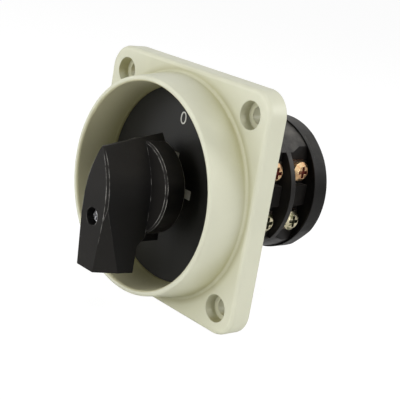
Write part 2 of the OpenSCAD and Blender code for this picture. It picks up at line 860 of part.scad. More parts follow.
// One track of a cam; its notches meet the slider at the handle's three positions
module cam_track(from_depth, to_depth, slider_place) {
    slab(from_depth, to_depth) difference() {
        circle(r = cam_r);
        for (turn = [-1, 0, 1]) {
            difference() {
                sector(cam_r + cut_over, slider_place + turn * turn_angle / 2, notch_angle);
                circle(r = cam_r - notch_depth);
            }
        }
    }
}

// A contact slider: a rounded tip on its own cam track, a body and a spring pin
module contact_slider(deck, side) {
    mid_depth = deck_depths[deck] + barrier_t + chamber_depth / 2;
    tip_front = side == "right" ? mid_depth - slider_half_depth : mid_depth + slide_gap;
    tip_back = side == "right" ? mid_depth - slide_gap : mid_depth + slider_half_depth;
    color(nylon) stand_up() on_side(side) {
        union() {
            slab(tip_front, tip_back) translate([cam_tip, 0]) union() {
                translate([slider_tip_half, 0]) circle(r = slider_tip_half, $fn = 48);
                translate([slider_tip_half, -slider_tip_half])
                    square([slider_tip_len, 2 * slider_tip_half]);
            }
            slab(mid_depth - slider_half_depth, mid_depth + slider_half_depth)
                translate([cam_tip + slider_tip_len, -slider_half])
                    square([slider_back - cam_tip - slider_tip_len, 2 * slider_half]);
            translate([slider_back - slide_gap, 0, -mid_depth]) rotate([0, 90, 0])
                cylinder(h = bridge_t + pin_len + slide_gap, r = pin_r);
        }
    }
}

// A contact bridge: a copper bar with a silver tip near each end
module contact_bridge(deck, side) {
    mid_depth = deck_depths[deck] + barrier_t + chamber_depth / 2;
    color(copper) stand_up() on_side(side) difference() {
        union() {
            slab(mid_depth - strip_w / 2, mid_depth + strip_w / 2)
                translate([slider_back, -bridge_half]) square([bridge_t, 2 * bridge_half]);
            for (y = [-1, 1]) {
                translate([slider_back - tip_t, y * tip_rise, -mid_depth]) rotate([0, 90, 0])
                    cylinder(h = tip_t + bridge_t / 2, r = tip_half);
            }
        }
        translate([slider_back - cut_over, 0, -mid_depth]) rotate([0, 90, 0])
            cylinder(h = bridge_t + 2 * cut_over, r = pin_r + turn_gap);
    }
}

// The spring that presses a bridge and its slider inwards
module contact_spring(deck, side) {
    mid_depth = deck_depths[deck] + barrier_t + chamber_depth / 2;
    spring_end = bay_floor + tower_out - spring_floor;
    color(steel) stand_up() on_side(side)
        translate([slider_back + bridge_t, 0, -mid_depth]) rotate([0, 90, 0])
            coil_spring(spring_coil_r, spring_wire_r, spring_end - slider_back - bridge_t, spring_turns);
}

// Repeats a piece at the four terminals of a deck
module at_terminals() {
    for (side = ["right", "left"], y = [-1, 1]) {
        on_side(side) scale([1, y, 1]) children();
    }
}

// The four fixed contacts of a deck, each a strip bent twice
module fixed_contacts(deck) {
    mid_depth = deck_depths[deck] + barrier_t + chamber_depth / 2;
    color(copper) stand_up() at_terminals() difference() {
        union() {
            slab(mid_depth - strip_w / 2, mid_depth + strip_w / 2) union() {
                translate([strip_face - strip_t, strip_inner]) square([strip_t, strip_outer - strip_inner]);
                translate([strip_face - strip_t, strip_outer - strip_t])
                    square([bay_floor + strip_t - strip_face + strip_t, strip_t]);
            }
            slab(mid_depth - pad_half_depth, mid_depth + pad_half_depth)
                translate([bay_floor, pad_inner]) square([strip_t, strip_outer - pad_inner]);
        }
        translate([bay_floor - cut_over, terminal_rise, -mid_depth]) rotate([0, 90, 0])
            cylinder(h = strip_t + 2 * cut_over, r = terminal_screw_r);
    }
}

// The square plates that clamp the wires under the terminal screws
module clamp_plates(deck) {
    mid_depth = deck_depths[deck] + barrier_t + chamber_depth / 2;
    color(brass_colour) stand_up() at_terminals()
        translate([bay_floor + strip_t, terminal_rise, -mid_depth]) rotate([0, 90, 0]) difference() {
            translate([-clamp_w / 2, -clamp_w / 2, 0]) cube([clamp_w, clamp_w, clamp_t]);
            translate([0, 0, -cut_over]) cylinder(h = clamp_t + 2 * cut_over, r = terminal_screw_r + turn_gap);
        }
}

// The cross-headed terminal screws
module terminal_screws(deck) {
    mid_depth = deck_depths[deck] + barrier_t + chamber_depth / 2;
    color(brass_colour) stand_up() at_terminals()
        translate([bay_floor + strip_t + clamp_t, terminal_rise, -mid_depth]) rotate([0, 90, 0])
            pan_screw(terminal_screw_r, clamp_t + strip_t + chamber_wall / 2, terminal_head_r, terminal_head_h);
}

// The end plate: a rim over the last deck, and recesses for the bolt heads and the clip
module end_plate() {
    flat_reach = sqrt(end_r * end_r - end_flat_w * end_flat_w / 4);
    color(deck_black) stand_up() difference() {
        union() {
            slab(end_depth - end_reach, end_depth) difference() {
                circle(r = end_r);
                circle(r = deck_r + fixed_gap);
            }
            intersection() {
                union() {
                    slab(end_depth, rear_depth - end_bevel) circle(r = end_r);
                    translate([0, 0, -rear_depth])
                        cylinder(h = end_bevel, r1 = end_r - end_bevel, r2 = end_r);
                }
                slab(end_depth, rear_depth) rotate(45) square(2 * flat_reach, center = true);
            }
        }
        slab(end_depth - cut_over, rear_depth) circle(r = deck_journal_r + turn_gap);
        slab(end_depth + end_recess_floor, rear_depth + cut_over) circle(r = end_recess_r);
        for (y = [-1, 1]) {
            translate([0, y * bolt_rise, -rear_depth - cut_over]) {
                cylinder(h = end_t + 2 * cut_over, r = bolt_hole_r);
                cylinder(h = bolt_recess + cut_over, r = bolt_head_r + fixed_gap);
            }
        }
    }
}

// The two long bolts that hold the stack together, put in from behind
module tie_bolts() {
    seat_depth = rear_depth - bolt_recess;
    color(steel) stand_up() for (y = [-1, 1]) {
        translate([0, y * bolt_rise, -seat_depth]) rotate([180, 0, 0])
            pan_screw(bolt_r, seat_depth - nut_depth + nut_t - fixed_gap, bolt_head_r, bolt_head_h);
    }
}

// The nuts that lie trapped in the index housing
module tie_nuts() {
    color(steel) stand_up() for (y = [-1, 1]) {
        translate([0, y * bolt_rise, -nut_depth - nut_t]) difference() {
            cylinder(h = nut_t, r = nut_r, $fn = 6);
            translate([0, 0, -cut_over]) cylinder(h = nut_t + 2 * cut_over, r = bolt_r);
        }
    }
}

front_plate();
dial_plate();
housing_screws();
handle();
handle_screw();
handle_hub();
hub_screw();
shaft();
shaft_clip();
index_housing();
index_wheel();
stop_ring();
index_plunger("right");  // index_plunger_right
index_plunger("left");  // index_plunger_left
index_ball("right");  // index_ball_right
index_ball("left");  // index_ball_left
index_spring("right");  // index_spring_right
index_spring("left");  // index_spring_left
bearing_plate();
contact_deck(0);  // contact_deck_1
contact_deck(1);  // contact_deck_2
cam(0);  // cam_1
cam(1);  // cam_2
contact_slider(0, "right");  // contact_slider_1_right
contact_slider(0, "left");  // contact_slider_1_left
contact_slider(1, "right");  // contact_slider_2_right
contact_slider(1, "left");  // contact_slider_2_left
contact_bridge(0, "right");  // contact_bridge_1_right
contact_bridge(0, "left");  // contact_bridge_1_left
contact_bridge(1, "right");  // contact_bridge_2_right
contact_bridge(1, "left");  // contact_bridge_2_left
contact_spring(0, "right");  // contact_spring_1_right
contact_spring(0, "left");  // contact_spring_1_left
contact_spring(1, "right");  // contact_spring_2_right
contact_spring(1, "left");  // contact_spring_2_left
fixed_contacts(0);  // fixed_contacts_1
fixed_contacts(1);  // fixed_contacts_2
clamp_plates(0);  // clamp_plates_1
clamp_plates(1);  // clamp_plates_2
terminal_screws(0);  // terminal_screws_1
terminal_screws(1);  // terminal_screws_2
end_plate();
tie_bolts();
tie_nuts();
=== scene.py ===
# %% [markdown]
# A panel selector switch for a voltmeter: an ivory square plate moulded in one
# with a round collar, a glossy black dial sunk in it, a black pistol handle, and
# a stack of black contact decks behind the panel with cross-headed screws.
# Every solid piece comes from the imported model, in metres, so this lesson
# only adds what the eye sees: finishes, softened edges, one taller screw head,
# the dial's figures and marks, light and a camera.

# %% Load the imported model
import json
import math

import bpy
from mathutils import Matrix, Vector


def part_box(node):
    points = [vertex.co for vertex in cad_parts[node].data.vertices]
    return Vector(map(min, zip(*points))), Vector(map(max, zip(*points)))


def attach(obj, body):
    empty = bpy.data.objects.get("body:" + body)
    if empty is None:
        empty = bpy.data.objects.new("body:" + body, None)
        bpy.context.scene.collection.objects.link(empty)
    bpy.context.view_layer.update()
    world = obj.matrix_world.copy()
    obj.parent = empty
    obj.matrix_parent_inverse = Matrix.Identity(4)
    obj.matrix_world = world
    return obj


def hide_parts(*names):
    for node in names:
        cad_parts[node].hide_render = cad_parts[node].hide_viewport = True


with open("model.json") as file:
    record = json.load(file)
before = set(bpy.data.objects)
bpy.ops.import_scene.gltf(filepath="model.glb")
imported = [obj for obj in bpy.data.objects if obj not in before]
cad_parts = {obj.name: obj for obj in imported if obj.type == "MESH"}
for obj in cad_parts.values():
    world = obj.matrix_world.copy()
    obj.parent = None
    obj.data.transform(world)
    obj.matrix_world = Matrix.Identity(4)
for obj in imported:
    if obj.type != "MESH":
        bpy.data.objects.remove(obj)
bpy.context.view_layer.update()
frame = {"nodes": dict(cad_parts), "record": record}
MM = 0.001
print("nodes loaded:", len(frame["nodes"]))

# %% [markdown]
# The camera stands where the photographer stood: to the right of the axis,
# a little above it, 30 cm away, with the camera rolled by about ten degrees. A
# camera's turn is a matrix whose columns point to its right, up and back, so it
# is built from the two directions that are known, back and up. Blender takes
# the lens and the sensor in millimetres and everything else in metres.

# %% The photographer's camera
CAMERA_PLACE = Vector((213.69, -192.58, 72.14)) * MM
CAMERA_BACK = Vector((0.7081, -0.6584, 0.2551)).normalized()
CAMERA_UP = Vector((-0.3008, 0.0456, 0.9526))
CAMERA_LENS = 99.49
SENSOR_WIDTH = 36
NEAREST_SEEN = 10 * MM

camera_data = bpy.data.cameras.new("camera")
camera_data.lens = CAMERA_LENS
camera_data.sensor_width = SENSOR_WIDTH
camera_data.clip_start = NEAREST_SEEN
camera = bpy.data.objects.new("camera", camera_data)
bpy.context.scene.collection.objects.link(camera)
camera_right = CAMERA_UP.cross(CAMERA_BACK).normalized()
camera_up = CAMERA_BACK.cross(camera_right)
turn = Matrix((camera_right, camera_up, CAMERA_BACK)).transposed()
camera.matrix_world = Matrix.Translation(CAMERA_PLACE) @ turn.to_4x4()
bpy.context.scene.camera = camera
bpy.context.scene.view_settings.view_transform = "Standard"
print("camera at mm:", [round(v / MM, 1) for v in CAMERA_PLACE])

# %% [markdown]
# Two helpers keep the shader cells short. One adds a node and fills its
# settings by name, the other blends two colours by a mask, which is what most
# of a finish consists of: a base colour, and masks that say where it changes.

# %% Helpers for shader nodes
def add_node(tree, kind, **settings):
    """Adds a node and fills its own settings, or else its inputs, by name."""
    node = tree.nodes.new(kind)
    for name, value in settings.items():
        if hasattr(node, name):
            setattr(node, name, value)
        else:
            node.inputs[name.replace("_", " ")].default_value = value
    return node


def wire(tree, source, target):
    tree.links.new(source, target)


def number(tree, operation, first, second):
    """Joins two numbers, each an output or a plain value, and clamps the result to 0..1."""
    node = add_node(tree, "ShaderNodeMath", operation=operation, use_clamp=True)
    for socket, value in zip(node.inputs, (first, second)):
        if isinstance(value, (int, float)):
            socket.default_value = value
        else:
            wire(tree, value, socket)
    return node.outputs[0]


def blend(tree, mask, under, over):
    """Lays one colour over another where the mask is 1."""
    node = add_node(tree, "ShaderNodeMix", data_type="RGBA")
    wire(tree, mask, node.inputs["Factor"])
    for socket, value in ((node.inputs[6], under), (node.inputs[7], over)):
        if isinstance(value, tuple):
            socket.default_value = (*value, 1)
        else:
            wire(tree, value, socket)
    return node.outputs[2]


def spread(tree, value, low, high, to_low=0.0, to_high=1.0):
    """Stretches the values between low and high over a new range."""
    node = add_node(
        tree, "ShaderNodeMapRange", From_Min=low, From_Max=high, To_Min=to_low, To_Max=to_high)
    wire(tree, value, node.inputs["Value"])
    return node.outputs["Result"]


# %% [markdown]
# A pale studio. The surroundings give a weak, even light, so that the inside
# of the collar falls into shade as in the photograph. The camera, mirrors and
# glass see them as white. Light Path's ray kinds allow that without throwing
# more light on the object.

# %% Surroundings
WORLD_LEVEL = 0.10
WHITE = (1, 1, 1, 1)
world = bpy.data.worlds.new("studio")
bpy.context.scene.world = world
world.use_nodes = True
tree = world.node_tree
tree.nodes.clear()


def white_seen(tree, level, mirrors):
    """Gives 1 to camera and glass rays, to mirrors if asked, and the level to all others."""
    rays = add_node(tree, "ShaderNodeLightPath")
    seen = number(
        tree, "MAXIMUM", rays.outputs["Is Camera Ray"], rays.outputs["Is Transmission Ray"])
    if mirrors:
        seen = number(tree, "MAXIMUM", seen, rays.outputs["Is Glossy Ray"])
    return spread(tree, seen, 0, 1, level, 1)


sky = add_node(tree, "ShaderNodeBackground", Color=WHITE)
world_out = add_node(tree, "ShaderNodeOutputWorld")
wire(tree, white_seen(tree, WORLD_LEVEL, True), sky.inputs["Strength"])
wire(tree, sky.outputs[0], world_out.inputs["Surface"])
print("surroundings light the object at", WORLD_LEVEL)

# %% [markdown]
# The lamps are soft boxes, as on a product table. Each has a place in metres,
# a width in metres and a power in watts. One stands in front of the plate and a
# weaker one before its left side. The others graze past the plate, light the
# outside of the collar and leave its inner wall dark.

# %% Lamps
LAMPS = {
    "front_box": ((0.0, -0.65, 0.12), 0.30, 2.05),
    "front_left_box": ((-0.45, -0.45, 0.10), 0.30, 0.85),
    "top_box": ((0.05, -0.05, 0.60), 0.30, 1.50),
    "right_box": ((0.60, -0.04, 0.10), 0.30, 1.30),
    "back_box": ((0.35, 0.45, 0.25), 0.25, 1.30),
}


def soft_lamp(name, place, size, watts):
    """A square soft box at a place in metres, turned to the object."""
    lamp_data = bpy.data.lights.new(name, "AREA")
    lamp_data.shape = "SQUARE"
    lamp_data.size = size
    lamp_data.energy = watts
    lamp = bpy.data.objects.new(name, lamp_data)
    bpy.context.scene.collection.objects.link(lamp)
    lamp.location = place
    lamp.rotation_euler = Vector(place).to_track_quat("Z", "Y").to_euler()


for lamp_name, (place, size, watts) in LAMPS.items():
    soft_lamp(lamp_name, place, size, watts)
print("lamps:", ", ".join(LAMPS))

# %% [markdown]
# The plate stands on a pale floor. To the camera most of its white is its own
# glow, so it melts into the white surroundings and keeps only a faint shadow;
# for mirrors and for the light that it throws back it is plain lit paper.

# %% Floor
FLOOR_HEIGHT = -32.0 * MM
FLOOR_SIZE = 8
FLOOR_WHITE = 0.93
FLOOR_SHOWN = 0.15
FLOOR_GLOW = 0.95
PAPER_ROUGHNESS = 0.9
bpy.ops.object.select_all(action="DESELECT")
bpy.ops.mesh.primitive_plane_add(size=FLOOR_SIZE, location=(0, 0, FLOOR_HEIGHT))
floor = bpy.context.object
floor.name = "floor"
floor_paper = bpy.data.materials.new("floor_paper")
floor_paper.use_nodes = True
tree = floor_paper.node_tree
floor_shader = tree.nodes["Principled BSDF"]
floor_shader.inputs["Roughness"].default_value = PAPER_ROUGHNESS
floor_shader.inputs["Specular IOR Level"].default_value = 0.0
floor_shader.inputs["Emission Color"].default_value = WHITE
floor_seen = white_seen(tree, 0, False)
floor_colour = blend(tree, floor_seen, (FLOOR_WHITE,) * 3, (FLOOR_SHOWN,) * 3)
wire(tree, floor_colour, floor_shader.inputs["Base Color"])
floor_glow = spread(tree, floor_seen, 0, 1, 0, FLOOR_GLOW)
wire(tree, floor_glow, floor_shader.inputs["Emission Strength"])
floor.data.materials.append(floor_paper)
print("floor at mm:", FLOOR_HEIGHT / MM)

# %% [markdown]
# A photographer keeps glossy black from looking grey with a flag, a dark card
# beside the object that only its reflections show. This one stands to the
# right and behind, where the handle's flank and the rear disc's rim mirror it.

# %% Dark flag
FLAG_PLACE = Vector((0.17, 0.15, 0.05))
FLAG_WIDE = 0.34
FLAG_TALL = 0.16
FELT_BLACK = (0.02, 0.02, 0.02, 1)
bpy.ops.object.select_all(action="DESELECT")
bpy.ops.mesh.primitive_plane_add(size=1, location=(0, 0, 0))
flag = bpy.context.object
flag.name = "dark_flag"
flag_turn = FLAG_PLACE.to_track_quat("Z", "Y").to_matrix().to_4x4()
flag_size = Matrix.Diagonal((FLAG_WIDE, FLAG_TALL, 1, 1))
flag.matrix_world = Matrix.Translation(FLAG_PLACE) @ flag_turn @ flag_size
for way in ("camera", "diffuse", "shadow", "transmission"):
    setattr(flag, "visible_" + way, False)
flag_felt = bpy.data.materials.new("flag_felt")
flag_felt.use_nodes = True
felt_shader = flag_felt.node_tree.nodes["Principled BSDF"]
felt_shader.inputs["Base Color"].default_value = FELT_BLACK
felt_shader.inputs["Roughness"].default_value = 1.0
flag.data.materials.append(flag_felt)
print("flag at mm:", [round(v / MM) for v in FLAG_PLACE])

# %% [markdown]
# Finishes are built from shared node groups, each made once and used with its
# own values in every material. A group takes numbers in and gives masks,
# heights or normals out. The pattern's place comes from Object coordinates, so
# it stays on a piece when the piece moves.

# %% A helper that makes a node group
def new_group(name, inputs, outputs):
    """Makes a node group with named number inputs and outputs of the given kinds."""
    group = bpy.data.node_groups.new(name, "ShaderNodeTree")
    for label, value in inputs.items():
        socket = group.interface.new_socket(label, in_out="INPUT", socket_type="NodeSocketFloat")
        socket.default_value = value
    for label, kind in outputs.items():
        group.interface.new_socket(label, in_out="OUTPUT", socket_type="NodeSocket" + kind)
    return group, group.nodes.new("NodeGroupInput"), group.nodes.new("NodeGroupOutput")


# %% [markdown]
# Moulding skin. A plastic moulding copies the spark-eroded steel of its mould,
# a fine even grain, and shows faint clouds where the melt flowed and cooled.
# Two noises of very different scale give both. Thermoset black also has fine
# pale specks of filler, for which a third, sparse noise is cut off high.

# %% Node group: moulding skin
CLOUDS_FROM = 0.3
CLOUDS_FULL = 0.7
SPECKS_FROM = 0.68
SPECKS_FULL = 0.74
skin, given, result = new_group(
    "moulding_skin",
    {"Grain Scale": 1800.0, "Cloud Scale": 80.0},
    {"Height": "Float", "Clouds": "Float", "Specks": "Float"},
)
spot = add_node(skin, "ShaderNodeTexCoord").outputs["Object"]
grain = add_node(skin, "ShaderNodeTexNoise", Detail=3.0, Roughness=0.65)
clouds = add_node(skin, "ShaderNodeTexNoise", Detail=2.0, Distortion=0.6)
filler = add_node(skin, "ShaderNodeTexNoise", Scale=5200.0, Detail=1.0)
for noise in (grain, clouds, filler):
    wire(skin, spot, noise.inputs["Vector"])
wire(skin, given.outputs["Grain Scale"], grain.inputs["Scale"])
wire(skin, given.outputs["Cloud Scale"], clouds.inputs["Scale"])
wire(skin, grain.outputs["Fac"], result.inputs["Height"])
melt = spread(skin, clouds.outputs["Fac"], CLOUDS_FROM, CLOUDS_FULL)
wire(skin, melt, result.inputs["Clouds"])
sparse = spread(skin, filler.outputs["Fac"], SPECKS_FROM, SPECKS_FULL)
wire(skin, sparse, result.inputs["Specks"])
print("group:", skin.name)

# %% [markdown]
# Edge feel. No real edge is a knife's: a Bevel node bends the normal over the
# last fraction of a millimetre, so edges catch a line of light. Where that bent
# normal departs from the face's own normal lies an edge, and fingers and
# packaging rub there first, in patches that a noise breaks up. The same mask
# carries a painted highlight, which on the handle stands in for the glints of
# its edges.

# %% Node group: edge feel
PATCH_FROM = 0.35
PATCH_FULL = 0.65
edges, given, result = new_group(
    "edge_feel",
    {"Radius": 0.0003, "Gain": 3.0},
    {"Normal": "Vector", "Rub And Highlight": "Float"},
)
rounded = add_node(edges, "ShaderNodeBevel", samples=8)
face = add_node(edges, "ShaderNodeNewGeometry")
agree = add_node(edges, "ShaderNodeVectorMath", operation="DOT_PRODUCT")
patch = add_node(edges, "ShaderNodeTexNoise", Scale=420.0, Detail=3.0)
wire(edges, add_node(edges, "ShaderNodeTexCoord").outputs["Object"], patch.inputs["Vector"])
wire(edges, given.outputs["Radius"], rounded.inputs["Radius"])
wire(edges, rounded.outputs["Normal"], agree.inputs[0])
wire(edges, face.outputs["Normal"], agree.inputs[1])
apart = number(edges, "SUBTRACT", 1, agree.outputs["Value"])
strong = number(edges, "MULTIPLY", apart, given.outputs["Gain"])
patchy = spread(edges, patch.outputs["Fac"], PATCH_FROM, PATCH_FULL)
wire(edges, number(edges, "MULTIPLY", strong, patchy), result.inputs["Rub And Highlight"])
wire(edges, rounded.outputs["Normal"], result.inputs["Normal"])
print("group:", edges.name)

# %% [markdown]
# Settled dust lies on what faces up, thinner on slopes and never even. The
# object's own normal gives the slope, so the dust stays with a turned handle.

# %% Node group: settled dust
SLOPE_FROM = 0.35
LINT_FROM = 0.4
LINT_FULL = 0.75
LINT_LEAST = 0.15
dust, given, result = new_group("settled_dust", {"Patch Scale": 160.0}, {"Dust": "Float"})
where = add_node(dust, "ShaderNodeTexCoord")
slope = add_node(dust, "ShaderNodeSeparateXYZ")
lint = add_node(dust, "ShaderNodeTexNoise", Detail=5.0, Roughness=0.7)
wire(dust, where.outputs["Normal"], slope.inputs[0])
wire(dust, where.outputs["Object"], lint.inputs["Vector"])
wire(dust, given.outputs["Patch Scale"], lint.inputs["Scale"])
level_part = spread(dust, slope.outputs["Z"], SLOPE_FROM, 1)
uneven = spread(dust, lint.outputs["Fac"], LINT_FROM, LINT_FULL, LINT_LEAST, 1)
wire(dust, number(dust, "MULTIPLY", level_part, uneven), result.inputs["Dust"])
print("group:", dust.name)

# %% [markdown]
# An Ambient Occlusion node measures how closed in a spot is, within a short
# reach. On the plastics this mask lays painted shade in recesses, creases and
# the inside of the collar; on the metals it lays grease and oxide in a cross slot
# or under a clamping plate.

# %% Node group: recess shade and oxide
recess, given, result = new_group(
    "recess_shade_and_oxide", {"Reach": 0.0015, "Gain": 1.6}, {"Shade And Oxide": "Float"})
shelter = add_node(recess, "ShaderNodeAmbientOcclusion", samples=8, only_local=True)
wire(recess, given.outputs["Reach"], shelter.inputs["Distance"])
closed = number(recess, "SUBTRACT", 1, shelter.outputs["AO"])
wire(recess, number(recess, "MULTIPLY", closed, given.outputs["Gain"]), result.inputs["Shade And Oxide"])
print("group:", recess.name)

# %% [markdown]
# Hairlines are the fine scratches of handling, on metal and on gloss. The
# borders between long thin Voronoi cells are such lines; a noise fades them.

# %% Node group: hairlines
LINE_TURN = (0.4, 0.9, 0.5)
LINE_SCALE = (1, 0.12, 1)
FADE_FROM = 0.45
FADE_FULL = 0.65
hairlines, given, result = new_group(
    "hairlines", {"Line Scale": 420.0, "Width": 0.02}, {"Lines": "Float"})
stretch = add_node(hairlines, "ShaderNodeMapping")
stretch.inputs["Rotation"].default_value = LINE_TURN
stretch.inputs["Scale"].default_value = LINE_SCALE
cells = add_node(hairlines, "ShaderNodeTexVoronoi", feature="DISTANCE_TO_EDGE")
fading = add_node(hairlines, "ShaderNodeTexNoise", Scale=300.0)
spot = add_node(hairlines, "ShaderNodeTexCoord").outputs["Object"]
wire(hairlines, spot, stretch.inputs["Vector"])
wire(hairlines, stretch.outputs["Vector"], cells.inputs["Vector"])
wire(hairlines, spot, fading.inputs["Vector"])
wire(hairlines, given.outputs["Line Scale"], cells.inputs["Scale"])
thin = add_node(hairlines, "ShaderNodeMath", operation="LESS_THAN")
wire(hairlines, cells.outputs["Distance"], thin.inputs[0])
wire(hairlines, given.outputs["Width"], thin.inputs[1])
faded = spread(hairlines, fading.outputs["Fac"], FADE_FROM, FADE_FULL)
wire(hairlines, number(hairlines, "MULTIPLY", thin.outputs[0], faded), result.inputs["Lines"])
print("group:", hairlines.name)

# %% [markdown]
# The handle's edges carry a painted highlight at the blade's sides, above the
# tail, and none on the nose's ridge or on the tail. The mask is the distance
# from the middle plane times the height. The flanks, whose normals point
# sideways, are laid darker than the front as painted shade.

# %% Node group: handle highlight and shade
HIGHLIGHT_SIDE = 2.0 * MM
HIGHLIGHT_NEAR = 0.5 * HIGHLIGHT_SIDE
FLANK_FROM = 0.93
FLANK_FULL = 0.985
HIGHLIGHT_LOW = -14.0 * MM
HIGHLIGHT_HIGH = -5.0 * MM
handle_highlight_and_shade, given, result = new_group("handle_highlight_and_shade", {}, {"Edge Highlight": "Float", "Flank Shade": "Float"})
split = add_node(handle_highlight_and_shade, "ShaderNodeSeparateXYZ")
facing = add_node(handle_highlight_and_shade, "ShaderNodeSeparateXYZ")
handle_place = add_node(handle_highlight_and_shade, "ShaderNodeTexCoord")
wire(handle_highlight_and_shade, handle_place.outputs["Object"], split.inputs[0])
wire(handle_highlight_and_shade, handle_place.outputs["Normal"], facing.inputs[0])
sideways = add_node(handle_highlight_and_shade, "ShaderNodeMath", operation="ABSOLUTE")
wire(handle_highlight_and_shade, facing.outputs["X"], sideways.inputs[0])
flank = spread(handle_highlight_and_shade, sideways.outputs[0], FLANK_FROM, FLANK_FULL)
# Painted shade: faces whose normals point sideways, the flanks.
wire(handle_highlight_and_shade, flank, result.inputs["Flank Shade"])
off_middle = add_node(handle_highlight_and_shade, "ShaderNodeMath", operation="ABSOLUTE")
wire(handle_highlight_and_shade, split.outputs["X"], off_middle.inputs[0])
beside = spread(handle_highlight_and_shade, off_middle.outputs[0], HIGHLIGHT_NEAR, HIGHLIGHT_SIDE)
above = spread(handle_highlight_and_shade, split.outputs["Z"], HIGHLIGHT_LOW, HIGHLIGHT_HIGH)
wire(handle_highlight_and_shade, number(handle_highlight_and_shade, "MULTIPLY", beside, above), result.inputs["Edge Highlight"])
print("group:", handle_highlight_and_shade.name)

# %% [markdown]
# Painted shade is strongest inside the deep collar and at its foot, and weaker
# in the open screw holes in the plate's corners. Distance from the shaft's
# axis tells the two apart. Walls that face the axis also get a darker, more
# yellow painted shade. There the surface's normal points against the way from
# the axis, so the product of the two is below zero.

# %% Node group: collar
COLLAR_EDGE = 30.0 * MM
CORNER_EDGE = 32.0 * MM
CORNER_SHARE = 0.35
FACING_AXIS = -20.0 * MM
LEAST_FACING = -9.0 * MM
collar, given, result = new_group("collar", {}, {"Near": "Float", "Inward": "Float"})
split = add_node(collar, "ShaderNodeSeparateXYZ")
ring_at = add_node(collar, "ShaderNodeTexCoord")
wire(collar, ring_at.outputs["Object"], split.inputs[0])
flat_place = add_node(collar, "ShaderNodeCombineXYZ")
wire(collar, split.outputs["X"], flat_place.inputs["X"])
wire(collar, split.outputs["Z"], flat_place.inputs["Z"])
from_axis = add_node(collar, "ShaderNodeVectorMath", operation="LENGTH")
wire(collar, flat_place.outputs[0], from_axis.inputs[0])
nearness = spread(
    collar, from_axis.outputs["Value"], COLLAR_EDGE, CORNER_EDGE, 1, CORNER_SHARE)
wire(collar, nearness, result.inputs["Near"])
outward = add_node(collar, "ShaderNodeVectorMath", operation="DOT_PRODUCT")
wire(collar, ring_at.outputs["Normal"], outward.inputs[0])
wire(collar, flat_place.outputs[0], outward.inputs[1])
inward = spread(collar, outward.outputs["Value"], FACING_AXIS, LEAST_FACING, 1, 0)
wire(collar, inward, result.inputs["Inward"])
print("group:", collar.name)

# %% [markdown]
# One builder serves all mouldings. Over the plastic's colour it lays the
# clouds, painted shade in recesses, paler rubbed edges, which on the handle are
# a painted highlight, and dust, each by its own mask and amount. The grain goes
# into a Bump node on top of the rounded edge normal. Numbers that are even all
# over the piece sit on the shader's own sockets. The amounts that only one
# material has, such as the painted shade inside the collar or on the handle's
# flanks, are left out for all others. The edge's radius, the reach of the
# painted shade and the height of the grain are lengths in metres.

# %% The builder for moulded plastics
RECESS_GAIN = 1.6
DUST = (0.42, 0.40, 0.36)
INNER_WALL_SHADE = (0.585, 0.560, 0.365)


def use_group(tree, group, **values):
    """Places a shared group in a material with its own values."""
    return add_node(tree, "ShaderNodeGroup", node_tree=group, **values)


def moulded(name, colour, cloudy, painted_shade, rubbed_and_highlight, roughness, gloss, grain, amounts):
    """A moulded plastic; grain is the height in metres and the scale of its texture."""
    material = bpy.data.materials.new(name)
    material.use_nodes = True
    tree = material.node_tree
    shader = tree.nodes["Principled BSDF"]
    surface = use_group(tree, skin, Grain_Scale=grain[1])
    edge = use_group(tree, edges, Radius=amounts["edge"], Gain=amounts["gain"])
    lint = use_group(tree, dust)
    recess_mask = use_group(tree, recess, Reach=amounts["reach"], Gain=amounts.get("closed", RECESS_GAIN))
    shaded_recess = number(tree, "MULTIPLY", recess_mask.outputs["Shade And Oxide"], amounts["painted_shade"])
    # Inside the collar the painted shade is full; in the corner holes it is weaker.
    if amounts.get("collar"):
        shaded_recess = number(tree, "MULTIPLY", shaded_recess, use_group(tree, collar).outputs["Near"])
    marks = use_group(tree, hairlines)
    shade = blend(tree, surface.outputs["Clouds"], colour, cloudy)
    # Painted shade: inside the collar, walls that face the axis are laid darker and more yellow.
    if amounts.get("collar"):
        shade = blend(tree, use_group(tree, collar).outputs["Inward"], shade, INNER_WALL_SHADE)
    specks = number(tree, "MULTIPLY", surface.outputs["Specks"], amounts["specks"])
    shade = blend(tree, specks, shade, rubbed_and_highlight)
    # Painted shade: recesses and creases are laid darker by how closed in they are.
    shade = blend(tree, shaded_recess, shade, painted_shade)
    # Painted shade: the handle's flanks are laid darker than its front.
    if amounts.get("flank_shade"):
        flank_shaded = number(tree, "MULTIPLY", use_group(tree, handle_highlight_and_shade).outputs["Flank Shade"], amounts["flank_shade"])
        shade = blend(tree, flank_shaded, shade, painted_shade)
    # Rubbed edges are paler; on the handle this is a painted highlight on its edges.
    open_edge = number(tree, "SUBTRACT", edge.outputs["Rub And Highlight"], recess_mask.outputs["Shade And Oxide"])
    rub_and_highlight_share = number(tree, "MULTIPLY", open_edge, amounts["rub_and_highlight"])
    if amounts.get("flank_shade"):
        rub_and_highlight_share = number(tree, "MULTIPLY", rub_and_highlight_share, use_group(tree, handle_highlight_and_shade).outputs["Edge Highlight"])
    shade = blend(tree, rub_and_highlight_share, shade, rubbed_and_highlight)
    dusted = number(tree, "MULTIPLY", lint.outputs["Dust"], amounts["dust"])
    shade = blend(tree, dusted, shade, DUST)
    wire(tree, shade, shader.inputs["Base Color"])
    dull = spread(tree, surface.outputs["Clouds"], 0, 1, *roughness)
    worn = number(tree, "MULTIPLY", marks.outputs["Lines"], amounts["marks"])
    dull = number(tree, "ADD", dull, number(tree, "ADD", dusted, worn))
    wire(tree, dull, shader.inputs["Roughness"])
    bump = add_node(tree, "ShaderNodeBump", Strength=1.0, Distance=grain[0])
    wire(tree, surface.outputs["Height"], bump.inputs["Height"])
    wire(tree, edge.outputs["Normal"], bump.inputs["Normal"])
    wire(tree, bump.outputs["Normal"], shader.inputs["Normal"])
    shader.inputs["Specular IOR Level"].default_value = gloss
    return material
